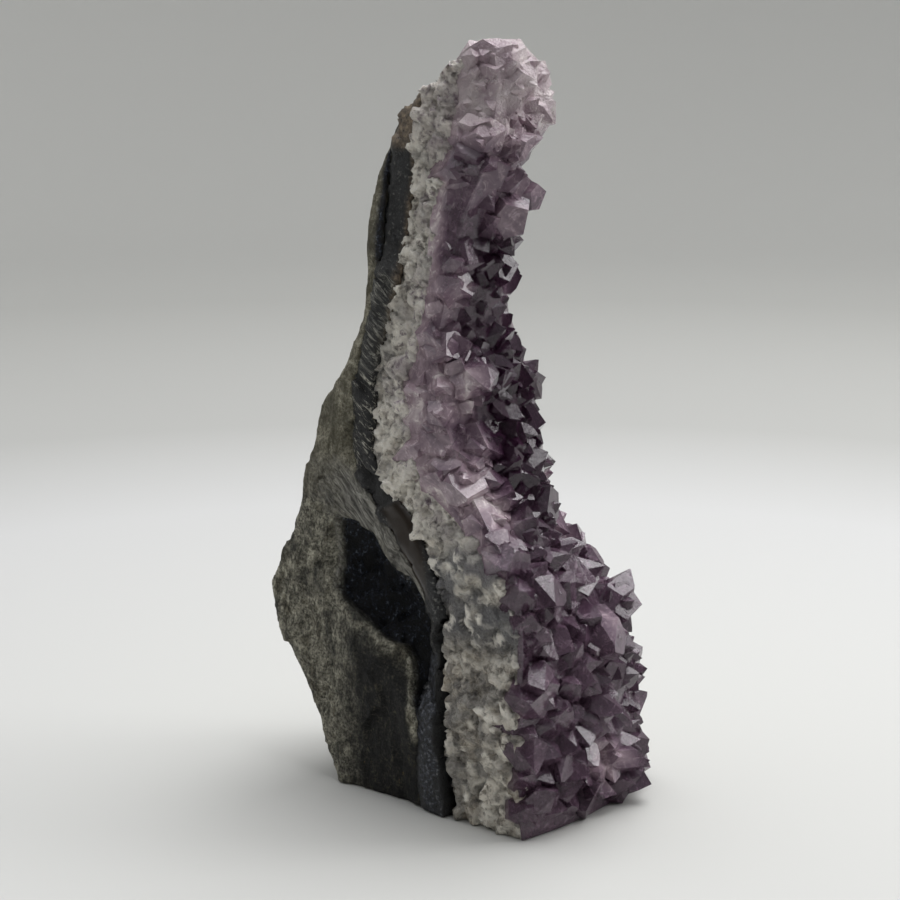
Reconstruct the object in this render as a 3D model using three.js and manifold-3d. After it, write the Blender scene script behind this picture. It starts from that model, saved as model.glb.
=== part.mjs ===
// An amethyst specimen: a broken slab of geode wall, sawn flat underneath so that it stands on end.
// From the back to the front its wall is weathered basalt, a thin dark agate rind, a band of
// milky quartz, and the amethyst crystals that grew from it into the cavity. The crystals are
// grown together, so they are one body with the amethyst layer they stand on.
//
// Millimetres. x runs along the wall, y runs through it (crystals at -y, basalt at +y), z is up.
import * as THREE from "three";
import { ConvexGeometry } from "three/addons/geometries/ConvexGeometry.js";
import { mergeVertices } from "three/addons/utils/BufferGeometryUtils.js";
import Module from "manifold-3d";

const wasm = await Module();
wasm.setup();

const BLOCK_HEIGHT = 204; // taller than the specimen: the crown trims it
const ROWS = 24; // of facets, up the block
const COLUMNS = 5; // of facets, along the wall
const FAR_BACK = 100; // behind everything
const BACK_ROUNDING = 6; // of the weathered edge behind the right end
const GAP = 0.45; // between layers, measured through the wall

// Outlines are [height, position] pairs, from the sawn base up.
// The two broken ends of the slab, in x.
const LEFT_END = [[0, -27], [60, -27], [110, -23], [150, -19], [182, -15], [204, -11]];
const RIGHT_END = [[0, 32], [30, 32], [60, 28], [80, 25], [100, 22], [115, 18], [128, 13],
  [146, 9], [153, 8.5], [170, 9], [182, 10], [192, 8], [204, 4]];

// The faces between layers, in y: where they meet the left end and where they meet the right.
const WEATHERED_BACK = {
  left: [[0, 39], [11, 43], [20, 47], [26, 51], [33, 58], [41, 62.5], [50, 63.5], [57, 61],
    [64, 57], [80, 53.5], [95, 49.5], [104, 47.5], [108, 42], [116, 36], [124, 32.6],
    [150, 32.2], [164, 32.2], [176, 30], [204, 22]],
  right: [[0, 30], [30, 42], [52, 47], [78, 42], [105, 36], [125, 30], [150, 28], [204, 20]],
};
const BASALT_EDGE = {
  left: [[0, 9], [13, 9.2], [24, 10.4], [32, 11], [46, 7], [53, 5], [60, 8.6], [66, 13.7],
    [76, 24.5], [82, 29.5], [86, 35], [97, 36.4], [108, 37.2], [116, 33.5], [124, 30.8], [132, 29.9],
    [145, 28.6], [157, 29.6], [170, 29.6], [204, 20.4]],
  right: [[0, 15], [30, 12], [55, 14], [80, 21], [105, 26], [125, 24], [150, 24], [204, 15]],
};
const QUARTZ_EDGE = {
  left: [[0, -1.8], [11, -0.8], [26, 1.2], [34, 2.5], [43, 4], [51, 1.5], [58, 3], [61, 5.6],
    [67, 8.7], [77, 15], [81, 20.5], [87, 29.6], [105, 31.8], [114, 30.5], [124, 26], [135, 23.8],
    [150, 22.2], [170, 22], [204, 13]],
  right: [[0, 8], [30, 7], [55, 9], [80, 16.5], [105, 22], [125, 20.5], [150, 20], [204, 12]],
};
const AMETHYST_EDGE = {
  left: [[0, -23], [21, -22.5], [37, -22], [52, -21.5], [60, -20], [66, -16], [72, -9], [77, -3],
    [81, 2.5], [87, 13], [106, 19.5], [113, 20.5], [122, 15], [134, 13.5], [157, 12.5],
    [170, 11.5], [204, 8]],
  right: [[0, -6], [30, -6], [50, -3], [62, 4], [80, 12], [105, 16], [125, 17], [150, 15],
    [204, 8]],
};
const CRYSTAL_ROOTS = {
  left: [[0, -24], [50, -24], [62, -22.5], [72, -18.5], [80, -9], [90, -2], [100, 3.5],
    [109, 4.5], [121, 9], [134, 6.5], [144, 5], [158, 1], [166, -3], [192, -4], [204, 2]],
  right: [[0, -20], [23, -18], [45, -13], [55, -6], [62, 2], [70, 7.5], [88, 9.5], [104, 11],
    [113, 12], [128, 13], [146, 13], [153, 10], [164, 11], [175, 8], [185, 6], [204, 8]],
};
// How far the middle of a face stands forward of the line between its ends.
const BULGE = { back: -5, basalt: 1, quartz: 1.5, amethyst: 5, roots: 6 };

// The broken crown: height against y, over the whole width.
const CROWN = [[-40, 150], [-14, 180], [-9, 190], [-4, 195], [2, 197.5], [7, 195], [12, 190],
  [19, 184], [27, 178], [33, 172], [80, 150]];

// The scooped fracture in the basalt's left end: a rounded trough from one [y, z] to another.
const SCOOP = { from: [36, 62], to: [11, 38], radius: 14, depth: 7 };
const RIND_GROOVE = 1; // the rind has broken away a little deeper than its neighbours

// Position on an outline at a height.
function along(outline, height) {
  const last = outline.length - 1;
  const next = outline.findIndex(([h]) => h > height);
  if (next === 0) return outline[0][1];
  if (next < 0) return outline[last][1];
  const [h0, a] = outline[next - 1];
  const [h1, b] = outline[next];
  return THREE.MathUtils.lerp(a, b, (height - h0) / (h1 - h0));
}

// A repeatable number from 0 to 1 for whole-number inputs.
function chance(...keys) {
  const mixed = keys.reduce((sum, key, i) => sum + key * [12.9898, 78.233, 37.719, 4.581][i], 0);
  const value = Math.sin(mixed) * 43758.5453;
  return value - Math.floor(value);
}

// Smooth noise from -1 to 1 over a lattice of one unit.
function noise(x, y, z) {
  const cell = [x, y, z].map(Math.floor);
  const ease = [x, y, z].map((v, i) => THREE.MathUtils.smoothstep(v - cell[i], 0, 1));
  let sum = 0;
  for (let corner = 0; corner < 8; corner += 1) {
    const step = [corner & 1, (corner >> 1) & 1, corner >> 2];
    const weight = step.reduce((w, s, i) => w * (s ? ease[i] : 1 - ease[i]), 1);
    sum += weight * chance(...cell.map((c, i) => c + step[i]));
  }
  return 2 * sum - 1;
}

// A face between two layers: y at a share of the way from the left end to the right.
function face(edge, bulge, wobble) {
  return (share, z) => {
    const straight = THREE.MathUtils.lerp(along(edge.left, z), along(edge.right, z), share);
    const crown = 4 * share * (1 - share);
    return straight - bulge * crown + wobble * noise(share * 5, z / 13, wobble);
  };
}
const weatheredBack = face(WEATHERED_BACK, BULGE.back, 1.6);
const basaltFace = face(BASALT_EDGE, BULGE.basalt, 0.5);
const quartzFace = face(QUARTZ_EDGE, BULGE.quartz, 0.6);
const amethystFace = face(AMETHYST_EDGE, BULGE.amethyst, 0.8);
const crystalRoots = face(CRYSTAL_ROOTS, BULGE.roots, 0.9);

// Distance from a point to the line between two others, all [y, z].
function distanceToLine(y, z, [y0, z0], [y1, z1]) {
  const length = (y1 - y0) ** 2 + (z1 - z0) ** 2;
  const share = THREE.MathUtils.clamp(((y - y0) * (y1 - y0) + (z - z0) * (z1 - z0)) / length, 0, 1);
  return Math.hypot(y - y0 - share * (y1 - y0), z - z0 - share * (z1 - z0));
}

// How far in from the slab's plain left end the broken surface lies.
function leftBreak(y, z) {
  const scoop = 1 - distanceToLine(y, z, SCOOP.from, SCOOP.to) / SCOOP.radius;
  const hollow = SCOOP.depth * THREE.MathUtils.smoothstep(scoop, 0, 1);
  return hollow + 1.1 * noise(y / 11, z / 15, 3);
}
function rightBreak(y, z) {
  return 1.5 + 1.5 * noise(y / 13, z / 17, 9) + 0.9 * noise(y / 6, z / 7, 12);
}

// The place along the wall at a share of the way from its left end to its right.
function alongWall(share, z) {
  return THREE.MathUtils.lerp(along(LEFT_END, z), along(RIGHT_END, z), share);
}

// The whole broken slab, as a grid of cells bent to its outline, before it is parted into layers.
function wall(inset) {
  const block = new THREE.BoxGeometry(1, 1, 1, 6, 14, ROWS).translate(0.5, 0.5, 0.5);
  const place = block.getAttribute("position");
  for (let i = 0; i < place.count; i += 1) {
    const share = place.getX(i);
    const depth = place.getY(i);
    const z = place.getZ(i) * BLOCK_HEIGHT;
    const y = THREE.MathUtils.lerp(crystalRoots(share, z) - 3, weatheredBack(share, z), depth);
    const left = share === 0 ? inset + leftBreak(y, z) : 0;
    const right = share === 1 ? inset + rightBreak(y, z) + BACK_ROUNDING * depth ** 6 : 0;
    place.setXYZ(i, alongWall(share, z) + left - right, y, z);
  }
  return solid(block);
}

// All the room behind a face, carried on past both ends of the wall.
function behind(layerFace, clear = 0) {
  const block = new THREE.BoxGeometry(1 + 2 / COLUMNS, 1, 1, COLUMNS + 2, 1, ROWS);
  block.translate(0.5, 0.5, 0.5);
  const place = block.getAttribute("position");
  for (let i = 0; i < place.count; i += 1) {
    const share = place.getX(i);
    const z = place.getZ(i) * BLOCK_HEIGHT;
    const y = place.getY(i) < 0.5 ? layerFace(share, z) - clear : FAR_BACK;
    place.setXYZ(i, alongWall(share, z), y, z);
  }
  return solid(block);
}

// A three.js geometry as a manifold-3d solid.
function solid(geometry) {
  const bare = new THREE.BufferGeometry()
    .setAttribute("position", geometry.getAttribute("position"))
    .setIndex(geometry.index);
  const merged = mergeVertices(bare, 1e-4);
  return new wasm.Manifold(new wasm.Mesh({
    numProp: 3,
    vertProperties: new Float32Array(merged.getAttribute("position").array),
    triVerts: new Uint32Array(merged.index.array),
  }));
}

// A manifold-3d solid as a three.js geometry.
function geometry(body) {
  const mesh = body.getMesh();
  return new THREE.BufferGeometry()
    .setAttribute("position", new THREE.BufferAttribute(new Float32Array(mesh.vertProperties), 3))
    .setIndex(new THREE.BufferAttribute(new Uint32Array(mesh.triVerts), 1));
}

// Everything under the broken crown and above the sawn base.
function crownBlock() {
  const outline = new THREE.Shape();
  outline.moveTo(CROWN[0][0], 0);
  CROWN.forEach(([y, z]) => outline.lineTo(y, z));
  outline.lineTo(CROWN[CROWN.length - 1][0], 0);
  const block = new THREE.ExtrudeGeometry(outline, { depth: 90, bevelEnabled: false });
  // The outline is drawn in x and y and runs along z, so the axes turn by one place.
  block.applyMatrix4(new THREE.Matrix4().set(0, 0, 1, -45, 1, 0, 0, 0, 0, 1, 0, 0, 0, 0, 0, 1));
  return solid(block);
}

// Everything above the sawn base.
function sawnBase() {
  return solid(new THREE.BoxGeometry(200, 200, 300).translate(0, 0, 150));
}

// Quartz grows as a six-sided prism under six sloping faces, three of them usually larger.
const FACE_SLOPE = THREE.MathUtils.degToRad(51.8); // from the crystal's axis to a tip face's normal
function crystalGeometry(radius, tip, root, seed) {
  const planes = [];
  for (let side = 0; side < 6; side += 1) {
    const turn = (side * Math.PI) / 3;
    const wide = radius * (0.86 + 0.24 * chance(seed, side, 1));
    const outward = new THREE.Vector3(Math.cos(turn), Math.sin(turn), 0);
    planes.push([outward, wide * Math.cos(Math.PI / 6)]);
    if (side % 2 && chance(seed, 3) < 0.6) continue; // the lesser three tip faces are often missing
    const setBack = side % 2 ? radius * 0.2 * chance(seed, side, 2) : 0;
    const sloping = outward.clone().multiplyScalar(Math.sin(FACE_SLOPE));
    sloping.z = Math.cos(FACE_SLOPE);
    planes.push([sloping, tip * sloping.z + setBack]);
  }
  planes.push([new THREE.Vector3(0, 0, -1), root]);
  return new ConvexGeometry(corners(planes));
}

// The corners of the convex body that planes [normal, distance] enclose.
function corners(planes) {
  const found = [];
  const meet = new THREE.Matrix3();
  planes.forEach(([n0, d0], i) => planes.slice(i + 1).forEach(([n1, d1], j) => {
    planes.slice(i + j + 2).forEach(([n2, d2]) => {
      meet.set(...n0.toArray(), ...n1.toArray(), ...n2.toArray());
      if (Math.abs(meet.determinant()) < 1e-4) return;
      const point = new THREE.Vector3(d0, d1, d2).applyMatrix3(meet.clone().invert());
      if (planes.some(([n, d]) => n.dot(point) > d + 1e-5)) return;
      if (found.some((other) => other.distanceTo(point) < 0.02)) return;
      found.push(point);
    });
  }));
  return found;
}

// A crystal standing at a point, along a direction, with its root sunk behind the point.
function crystal({ at, way, radius, reach, root = 7, seed }) {
  const shape = crystalGeometry(radius, reach, root, seed);
  const direction = new THREE.Vector3(...way).normalize();
  const lean = new THREE.Quaternion().setFromUnitVectors(new THREE.Vector3(0, 0, 1), direction);
  const spin = new THREE.Quaternion()
    .setFromAxisAngle(new THREE.Vector3(0, 0, 1), chance(seed, 7) * Math.PI);
  shape.applyQuaternion(lean.multiply(spin));
  shape.translate(...at);
  return solid(mergeVertices(shape.deleteAttribute("normal"), 1e-4));
}

// The way out of the root surface at a share along the wall and a height.
function outOf(share, z) {
  const step = 0.06;
  const rise = 4;
  const width = along(RIGHT_END, z) - along(LEFT_END, z);
  const sideways = (crystalRoots(share + step, z) - crystalRoots(share - step, z)) / (2 * step * width);
  const upwards = (crystalRoots(share, z + rise) - crystalRoots(share, z - rise)) / (2 * rise);
  const fanned = (share - 0.5) * 0.9;
  return new THREE.Vector3(sideways * 0.7 + fanned, -1, upwards * 0.7).normalize();
}

// Field crystals fill the front evenly, by a sequence that never bunches up.
const FIELD_CRYSTALS = 52;
const FIELD_TOP = 190;
function fieldCrystals() {
  const golden = 1.32471795724; // its powers give an even spread in two directions
  return Array.from({ length: FIELD_CRYSTALS }, (_, i) => {
    const share = 0.02 + 0.97 * ((0.5 + i / golden) % 1);
    const z = 3 + (FIELD_TOP - 3) * ((0.5 + i / golden ** 2) % 1);
    const low = THREE.MathUtils.smoothstep(110 - z, 0, 60);
    const radius = 4.8 + 1.6 * low + 1.6 * chance(i, 3);
    const way = outOf(share, z);
    way.x += 0.9 * (chance(i, 4) - 0.5);
    way.z += 0.9 * (chance(i, 5) - 0.5) + 0.1;
    const x = alongWall(share, z) - 1.5 * share;
    const reach = radius * (0.55 + 0.45 * chance(i, 6));
    return { at: [x, crystalRoots(share, z), z], way: way.toArray(), radius, reach, seed: i };
  });
}

// The largest crystals, each placed by hand: where it stands, the way it points, and its size.
const LARGE_CRYSTALS = [
  { at: [19, -13, 49], way: [0.55, -0.8, 0.05], radius: 7, reach: 12, seed: 201 },
  { at: [18, -5, 57], way: [0.6, -0.6, 0.45], radius: 5, reach: 9, seed: 202 },
  { at: [20, -14, 37], way: [0.6, -0.75, -0.1], radius: 5, reach: 9.5, seed: 203 },
  { at: [22, -15, 27], way: [0.65, -0.75, 0.15], radius: 6.5, reach: 10, seed: 204 },
  { at: [22, -16, 13], way: [0.6, -0.75, -0.15], radius: 7, reach: 9, seed: 205 },
  { at: [2, -23, 45], way: [0.1, -0.95, 0.3], radius: 7.5, reach: 10, seed: 206 },
  { at: [-4, -24, 24], way: [-0.1, -0.95, 0.1], radius: 7, reach: 9, seed: 207 },
  { at: [8, -24, 14], way: [0.25, -0.95, -0.1], radius: 6.5, reach: 9, seed: 208 },
  { at: [-14, 3, 113], way: [-0.35, -0.9, 0.2], radius: 7, reach: 9, seed: 209 },
  { at: [-16, 1, 96], way: [-0.4, -0.9, 0.15], radius: 7.5, reach: 8, seed: 210 },
  { at: [8, 6, 98], way: [0.3, -0.95, 0.1], radius: 6, reach: 8, seed: 211 },
  { at: [-6, -1, 154], way: [-0.1, -0.95, 0.25], radius: 6, reach: 8, seed: 212 },
  { at: [5, 4, 158], way: [0.75, -0.6, 0.15], radius: 5, reach: 7.5, seed: 213 },
  { at: [-8, -3, 172], way: [-0.2, -0.95, 0.1], radius: 9, reach: 7, seed: 214 },
  { at: [3, -2, 180], way: [0.15, -0.9, 0.3], radius: 8, reach: 7, seed: 215 },
  { at: [0, 3, 190], way: [0.1, -0.25, 0.95], radius: 8, reach: 8, seed: 216 },
  { at: [7, 3, 187], way: [0.5, -0.4, 0.7], radius: 7, reach: 7, seed: 217 },
  { at: [-7, 6, 188], way: [-0.3, 0, 0.9], radius: 7, reach: 6, seed: 218 },
  { at: [-13, -13, 76], way: [-0.2, -0.7, 0.7], radius: 7, reach: 6, seed: 219 },
  { at: [1, -7, 80], way: [0, -0.6, 0.8], radius: 7, reach: 6, seed: 220 },
  { at: [11, -2, 71], way: [0.3, -0.6, 0.7], radius: 7, reach: 5, seed: 221 },
  { at: [-22, -22, 9], way: [-0.35, -0.93, 0.1], radius: 6, reach: 5.5, seed: 222 },
  { at: [-22, -22, 23], way: [-0.45, -0.88, 0], radius: 5.5, reach: 6, seed: 223 },
  { at: [-22, -22, 37], way: [-0.3, -0.95, 0.15], radius: 6, reach: 6.5, seed: 224 },
  { at: [-22, -22, 51], way: [-0.45, -0.85, 0.2], radius: 6, reach: 6, seed: 225 },
  { at: [-21, -17, 66], way: [-0.4, -0.8, 0.45], radius: 6, reach: 6, seed: 226 },
  { at: [-21, 0, 89], way: [-0.8, -0.6, 0.2], radius: 7, reach: 7.5, seed: 227 },
  { at: [-20, 8, 105], way: [-0.85, -0.5, 0.1], radius: 7.5, reach: 8, seed: 228 },
  { at: [-18, 8, 121], way: [-0.8, -0.6, -0.1], radius: 6, reach: 7, seed: 229 },
  { at: [-16, 7, 137], way: [-0.8, -0.6, 0.1], radius: 5.5, reach: 6.5, seed: 230 },
];

const MATERIALS = {
  basalt_matrix: { color: "#5f5b51", roughness: 0.85 },
  agate_rind: { color: "#23242a", roughness: 0.5 },
  quartz_band: { color: "#a9a59c", roughness: 0.45 },
  amethyst_druse: { color: "#6b5570", roughness: 0.15 },
};

function layers() {
  const crown = crownBlock();
  const slab = wall(0).intersect(crown);
  const groovedSlab = wall(RIND_GROOVE).intersect(crown);
  const crystals = [...LARGE_CRYSTALS, ...fieldCrystals()].map(crystal);
  const druse = crystals.reduce((grown, one) => grown.add(one), behind(crystalRoots).intersect(slab));
  return {
    basalt_matrix: behind(basaltFace).intersect(slab),
    agate_rind: behind(quartzFace).intersect(groovedSlab).subtract(behind(basaltFace, GAP)),
    quartz_band: behind(amethystFace).intersect(slab).subtract(behind(quartzFace, GAP)),
    amethyst_druse: druse.subtract(behind(amethystFace, GAP)).intersect(sawnBase()),
  };
}

// The specimen stands with the middle of its sawn base's box at the origin.
function specimen() {
  const stone = new THREE.Group();
  Object.entries(layers()).forEach(([name, body]) => {
    const material = new THREE.MeshStandardMaterial({ ...MATERIALS[name], metalness: 0 });
    const mesh = new THREE.Mesh(geometry(body), material);
    mesh.name = name;
    stone.add(mesh);
  });
  const box = new THREE.Box3().setFromObject(stone);
  const middle = box.getCenter(new THREE.Vector3());
  stone.position.set(-middle.x, -middle.y, -box.min.z);
  return new THREE.Group().add(stone);
}

export default specimen();
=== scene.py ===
import math

import bmesh
import bpy
import numpy as np
from bpy.props import FloatProperty, FloatVectorProperty, IntProperty, PointerProperty
from mathutils import Matrix, Vector
from mathutils.bvhtree import BVHTree


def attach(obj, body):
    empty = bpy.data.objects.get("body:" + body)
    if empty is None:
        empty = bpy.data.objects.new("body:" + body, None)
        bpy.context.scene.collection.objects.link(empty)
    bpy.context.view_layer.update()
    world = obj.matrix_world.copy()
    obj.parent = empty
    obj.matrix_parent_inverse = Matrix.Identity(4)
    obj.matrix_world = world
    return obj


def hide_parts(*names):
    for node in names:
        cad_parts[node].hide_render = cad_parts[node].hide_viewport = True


bl_info = {
    "name": "Amethyst Geode Specimen",
    "version": (1, 0, 0),
    "blender": (4, 5, 0),
    "location": "View3D > Sidebar > Geode",
    "description": "A broken slab of amethyst geode wall, standing on its sawn base",
    "category": "Object",
}

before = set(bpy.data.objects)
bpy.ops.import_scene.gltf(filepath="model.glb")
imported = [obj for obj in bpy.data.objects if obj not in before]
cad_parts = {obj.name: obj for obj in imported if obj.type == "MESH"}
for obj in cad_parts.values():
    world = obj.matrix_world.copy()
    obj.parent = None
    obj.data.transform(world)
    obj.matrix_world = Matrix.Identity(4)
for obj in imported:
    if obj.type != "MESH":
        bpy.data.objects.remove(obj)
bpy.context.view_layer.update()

MM = 0.001
JOINED = 0.002 * MM  # corners nearer than this are the same corner
BASE_SKIN = 0.9  # millimetres above the saw cut that stay in its plane
SAW_CUT = 0.02 * MM  # where what grew below the base is cut off, just above the floor


# ---------------------------------------------------------------- small helpers


def linear(code):
    """The linear colour, with alpha, of an sRGB hex code."""
    parts = [int(code[i : i + 2], 16) / 255 for i in (1, 3, 5)]
    return (*[c / 12.92 if c <= 0.04045 else ((c + 0.055) / 1.055) ** 2.4 for c in parts], 1.0)


def add(tree, kind, inputs=None, out=0, stops=(), **settings):
    """Adds a node with its settings, fills or links its inputs, and returns one of its outputs. A
    hex code fills a colour, and stops are a ramp's (position, hex code) pairs."""
    made = tree.nodes.new(kind)
    for name, value in settings.items():
        setattr(made, name, value)
    for key, value in (inputs or {}).items():
        if isinstance(value, bpy.types.NodeSocket):
            tree.links.new(value, made.inputs[key])
        elif str(value).startswith("#"):
            made.inputs[key].default_value = linear(value)
        else:
            made.inputs[key].default_value = value
    for _ in range(len(stops) - 2):
        made.color_ramp.elements.new(0.5)
    for index, (position, code) in enumerate(stops):
        made.color_ramp.elements[index].position = position
        made.color_ramp.elements[index].color = linear(code)
    return made.outputs[out] if len(made.outputs) else None


def new_material(name):
    """An empty node material and its tree."""
    made = bpy.data.materials.new(name)
    made.use_nodes = True
    made.node_tree.nodes.clear()
    return made, made.node_tree


def millimetres(tree, stretch=(1, 1, 1), turn=0):
    """Object coordinates in millimetres, turned about X by degrees, then stretched."""
    raw = add(tree, "ShaderNodeTexCoord", out="Object")
    turned = add(tree, "ShaderNodeMapping", {"Vector": raw, "Rotation": (math.radians(turn), 0, 0)})
    scale = [share / MM for share in stretch]
    return add(tree, "ShaderNodeMapping", {"Vector": turned, "Scale": scale})


# ---------------------------------------------------------------- shapes in numpy


def scramble(cells, seed):
    """A repeatable number from 0 to 1 for each lattice cell."""
    x, y, z = (cells[..., i].astype(np.int64) for i in range(3))
    mixed = (x * 73856093) ^ (y * 19349663) ^ (z * 83492791) ^ (seed * 40503 + 977)
    mixed = (mixed ^ (mixed >> 13)) * 1274126177
    mixed = (mixed ^ (mixed >> 15)) * 668265263
    return ((mixed ^ (mixed >> 16)) & 0xFFFFFF) / 0xFFFFFF


def noise(points, size, seed=0, octaves=1):
    """Smooth noise from -1 to 1 with features about size across, finer in each octave."""
    total, height, scaled = 0.0, 1.0, points / np.asarray(size, float)
    for octave in range(octaves):
        base = np.floor(scaled)
        part = scaled - base
        part = part * part * (3 - 2 * part)
        value = 0.0
        for corner in np.ndindex(2, 2, 2):
            weight = np.prod(np.where(corner, part, 1 - part), axis=-1)
            value = value + weight * scramble(base + corner, seed + 31 * octave)
        total = total + height * (2 * value - 1)
        height *= 0.5
        scaled = scaled * 2.03 + 17.3
    return total / (2 - 2 ** (1 - octaves))


def grains(points, size, seed=0):
    """Packed grains about size across: each point's height on its grain's tilted face, from about
    -1 to 1, its distance from the grain's edge as a share of size, and a number for the grain."""
    scaled = points / np.asarray(size, float)
    base = np.floor(scaled)
    nearest = np.full(len(points), 9.0)
    second = nearest.copy()
    tilt = np.zeros(len(points))
    label = np.zeros(len(points))
    for step in np.ndindex(3, 3, 3):
        cell = base + np.array(step) - 1
        rolls = [scramble(cell, seed + k) for k in range(7)]
        away = scaled - (cell + np.stack(rolls[:3], axis=-1))
        reach = np.linalg.norm(away, axis=-1)
        slope = 2 * np.stack(rolls[3:6], axis=-1) - 1
        closer = reach < nearest
        second = np.where(closer, nearest, np.minimum(second, reach))
        tilt = np.where(closer, (away * slope).sum(-1) + 0.6 * (rolls[6] - 0.5), tilt)
        label = np.where(closer, rolls[6], label)
        nearest = np.where(closer, reach, nearest)
    return tilt, second - nearest, label


def ease(value, low, high):
    """0 below low, 1 above high, and smooth between."""
    share = np.clip((value - low) / (high - low), 0, 1)
    return share * share * (3 - 2 * share)


def reach_of(line, y, z):
    """Distance of each point from an open line of (y, z) corners."""
    nearest = np.full(y.shape, np.inf)
    for (y0, z0), (y1, z1) in zip(line, line[1:]):
        along = ((y - y0) * (y1 - y0) + (z - z0) * (z1 - z0)) / ((y1 - y0) ** 2 + (z1 - z0) ** 2)
        along = np.clip(along, 0, 1)
        reach = np.hypot(y - y0 - along * (y1 - y0), z - z0 - along * (z1 - z0))
        nearest = np.minimum(nearest, reach)
    return nearest


def between(value, low, high, soft):
    """1 between low and high, fading to 0 over the last soft of it at both ends."""
    return ease(value, low, low + soft) * ease(-value, -high, soft - high)


def depth_inside(outline, y, z):
    """How far inside a closed outline of (y, z) corners each point lies; negative outside."""
    closed = outline + outline[:1]
    inside = np.zeros(y.shape, bool)
    for (y0, z0), (y1, z1) in zip(closed, closed[1:]):
        crosses = (z0 > z) != (z1 > z)
        edge = (y1 - y0) * (z - z0) / ((z1 - z0) or 1e-9) + y0
        inside ^= crosses & (y < edge)
    nearest = reach_of(closed, y, z)
    return np.where(inside, nearest, -nearest)


def distance_to(node_name, points):
    """Distance in millimetres from each point to a CAD node's surface."""
    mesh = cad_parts[node_name].data
    corners = [vertex.co for vertex in mesh.vertices]
    tree = BVHTree.FromPolygons(corners, [tuple(face.vertices) for face in mesh.polygons])
    return np.array([tree.find_nearest(Vector(point * MM))[3] for point in points]) / MM


def link_mesh(name, mesh):
    """A new object for a mesh, in the scene."""
    made = bpy.data.objects.new(name, mesh)
    bpy.context.scene.collection.objects.link(made)
    return made


def plain_mesh(source):
    """The evaluated object as a plain mesh, with its modifiers removed."""
    graph = bpy.context.evaluated_depsgraph_get()
    made = bpy.data.meshes.new_from_object(source.evaluated_get(graph))
    source.modifiers.clear()
    old = source.data
    source.data = made
    bpy.data.meshes.remove(old)
    return made


def closed_copy(node_name, name):
    """A copy of a CAD node with its loose triangles joined."""
    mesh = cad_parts[node_name].data.copy()
    joined = bmesh.new()
    joined.from_mesh(mesh)
    bmesh.ops.remove_doubles(joined, verts=joined.verts, dist=JOINED)
    joined.to_mesh(mesh)
    joined.free()
    mesh.materials.clear()
    for layer in list(mesh.color_attributes):
        mesh.color_attributes.remove(layer)
    return link_mesh(name, mesh)


def fine_copy(node_name, name, voxel, relax=2):
    """A copy of a CAD node as an even fine skin, ready to carve."""
    rock = closed_copy(node_name, name)
    remesh = rock.modifiers.new("even skin", "REMESH")
    remesh.mode = "VOXEL"
    remesh.voxel_size = voxel
    remesh.use_smooth_shade = True
    smooth = rock.modifiers.new("relax", "SMOOTH")
    smooth.iterations = relax
    smooth.factor = 0.5
    plain_mesh(rock)
    return rock


def skin_of(mesh):
    """A mesh's points, in millimetres, and the normals there."""
    points = np.empty(len(mesh.vertices) * 3)
    normals = points.copy()
    mesh.vertices.foreach_get("co", points)
    mesh.vertices.foreach_get("normal", normals)
    return points.reshape(-1, 3) / MM, normals.reshape(-1, 3)


def paint(mesh, fields):
    """Keeps each field as numbers on the mesh's points."""
    for name, values in fields.items():
        kept = mesh.attributes.new(name, "FLOAT", "POINT")
        kept.data.foreach_set("value", values.astype(np.float32))


def carve(rock, shape):
    """Moves each point by shape(points, normals), in millimetres, which also names the fields
    that the material reads. The sawn base stays flat."""
    mesh = rock.data
    points, normals = skin_of(mesh)
    base = (points[:, 2] < BASE_SKIN) & (normals[:, 2] < -0.4)
    moves, fields = shape(points, normals)
    moved = points + moves
    moved[:, 2] = np.where(base, 0.0, np.maximum(moved[:, 2], 0.0))
    mesh.vertices.foreach_set("co", (moved * MM).ravel())
    paint(mesh, {name: np.clip(values, 0, 1) for name, values in fields.items()})
    mesh.update()


def settle(piece, material, slot, *nodes):
    """Gives a finished piece its material and its body, and hides the CAD nodes it stands for."""
    piece.data.materials.clear()
    piece.data.materials.append(material)
    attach(piece, "root")
    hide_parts(*nodes)


# ---------------------------------------------------------------- settings


def tone(name, description, code):
    """A colour setting."""
    return FloatVectorProperty(
        name=name,
        description=description,
        subtype="COLOR",
        size=4,
        min=0.0,
        max=1.0,
        default=linear(code),
    )


def length(name, description, millimetres, low=0.0):
    """A length setting, kept in metres."""
    return FloatProperty(
        name=name,
        description=description,
        default=millimetres * MM,
        min=low * MM,
        unit="LENGTH",
        precision=5,
    )


class BasaltSettings(bpy.types.PropertyGroup):
    """Sizes and colours of the weathered basalt."""

    skin: length("Skin", "Spacing of the carved skin's points", 0.72, 0.4)
    streak: length("Streak relief", "Height of the fibrous streaks", 0.28)
    hollow: length("Hollow depth", "How much deeper the dark fracture is cut", 3.6)
    body: tone("Body", "Weathered basalt", "#6b6960")


class RindSettings(bpy.types.PropertyGroup):
    """Sizes and colours of the agate rind."""

    skin: length("Skin", "Spacing of the carved skin's points", 0.75, 0.4)
    grain: length("Break relief", "Height of the broken steps across the rind", 0.7)
    flush: length("Flush", "How far the broken end stands out of the groove between layers", 2.0)
    body: tone("Body", "Dark agate", "#1d1e20")


class QuartzSettings(bpy.types.PropertyGroup):
    """Sizes and colours of the milky quartz band."""

    skin: length("Skin", "Spacing of the carved skin's points", 0.7, 0.4)
    grain: length("Grain", "Width of a quartz grain", 3.4, 0.5)
    relief: length("Grain relief", "Height of a grain's tilted face", 1.1)
    body: tone("Body", "Milky quartz", "#e6dfd3")


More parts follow.
